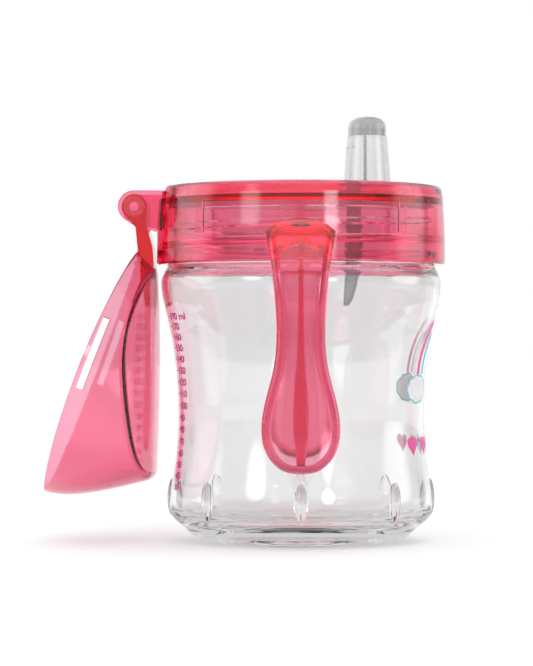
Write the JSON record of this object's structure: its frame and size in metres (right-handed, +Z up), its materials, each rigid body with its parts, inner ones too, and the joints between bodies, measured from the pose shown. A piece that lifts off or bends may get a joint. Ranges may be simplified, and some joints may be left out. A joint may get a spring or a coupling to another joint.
{
  "type": "sippy cup",
  "caption": "Toddler cup with a clear waisted body, side handles on a screw lid, a soft spout, and a hinged dust cap that swings over the spout.",
  "frame": {"origin": "on the cup's axis, in the plane of the foot ring that it stands on", "axes": "+Z up along the cup's axis, +X towards the spout, -X towards the cap's hinge, and the handles along -Y and +Y"},
  "size_m": [0.1078, 0.1154, 0.1141],
  "materials": {
    "clear_cup": "clear, glossy",
    "pink_lid": "translucent, glossy",
    "pink_handle": "translucent, glossy",
    "pink_cap": "translucent, glossy",
    "pink_pin": "translucent, glossy",
    "soft_seal": "clear silicone",
    "soft_spout": "clear silicone",
    "soft_valve": "clear silicone"
  },
  "bodies": {
    "cup": {"cup_body": "clear_cup"},
    "seal": {"seal_ring": "soft_seal"},
    "lid": {"collar": "pink_lid", "hinge_pin": "pink_pin", "spout": "soft_spout", "vent_valve": "soft_valve", "handle_right": "pink_handle", "handle_left": "pink_handle"},
    "cap": {"flip_cap": "pink_cap"}
  },
  "joints": [
    {"name": "lid_lift", "type": "slide", "parent": "cup", "child": "seal", "axis": [0, 0, 1], "range_m": [0, 0.08]},
    {"name": "collar_turn", "type": "hinge", "parent": "seal", "child": "lid", "pos_m": [0, 0, 0.082], "axis": [0, 0, 1], "range_deg": [0, 540]},
    {"name": "cap_hinge", "type": "hinge", "parent": "lid", "child": "cap", "pos_m": [-0.0444, 0, 0.0898], "axis": [0, 1, 0], "range_deg": [0, 249.4]}
  ]
}
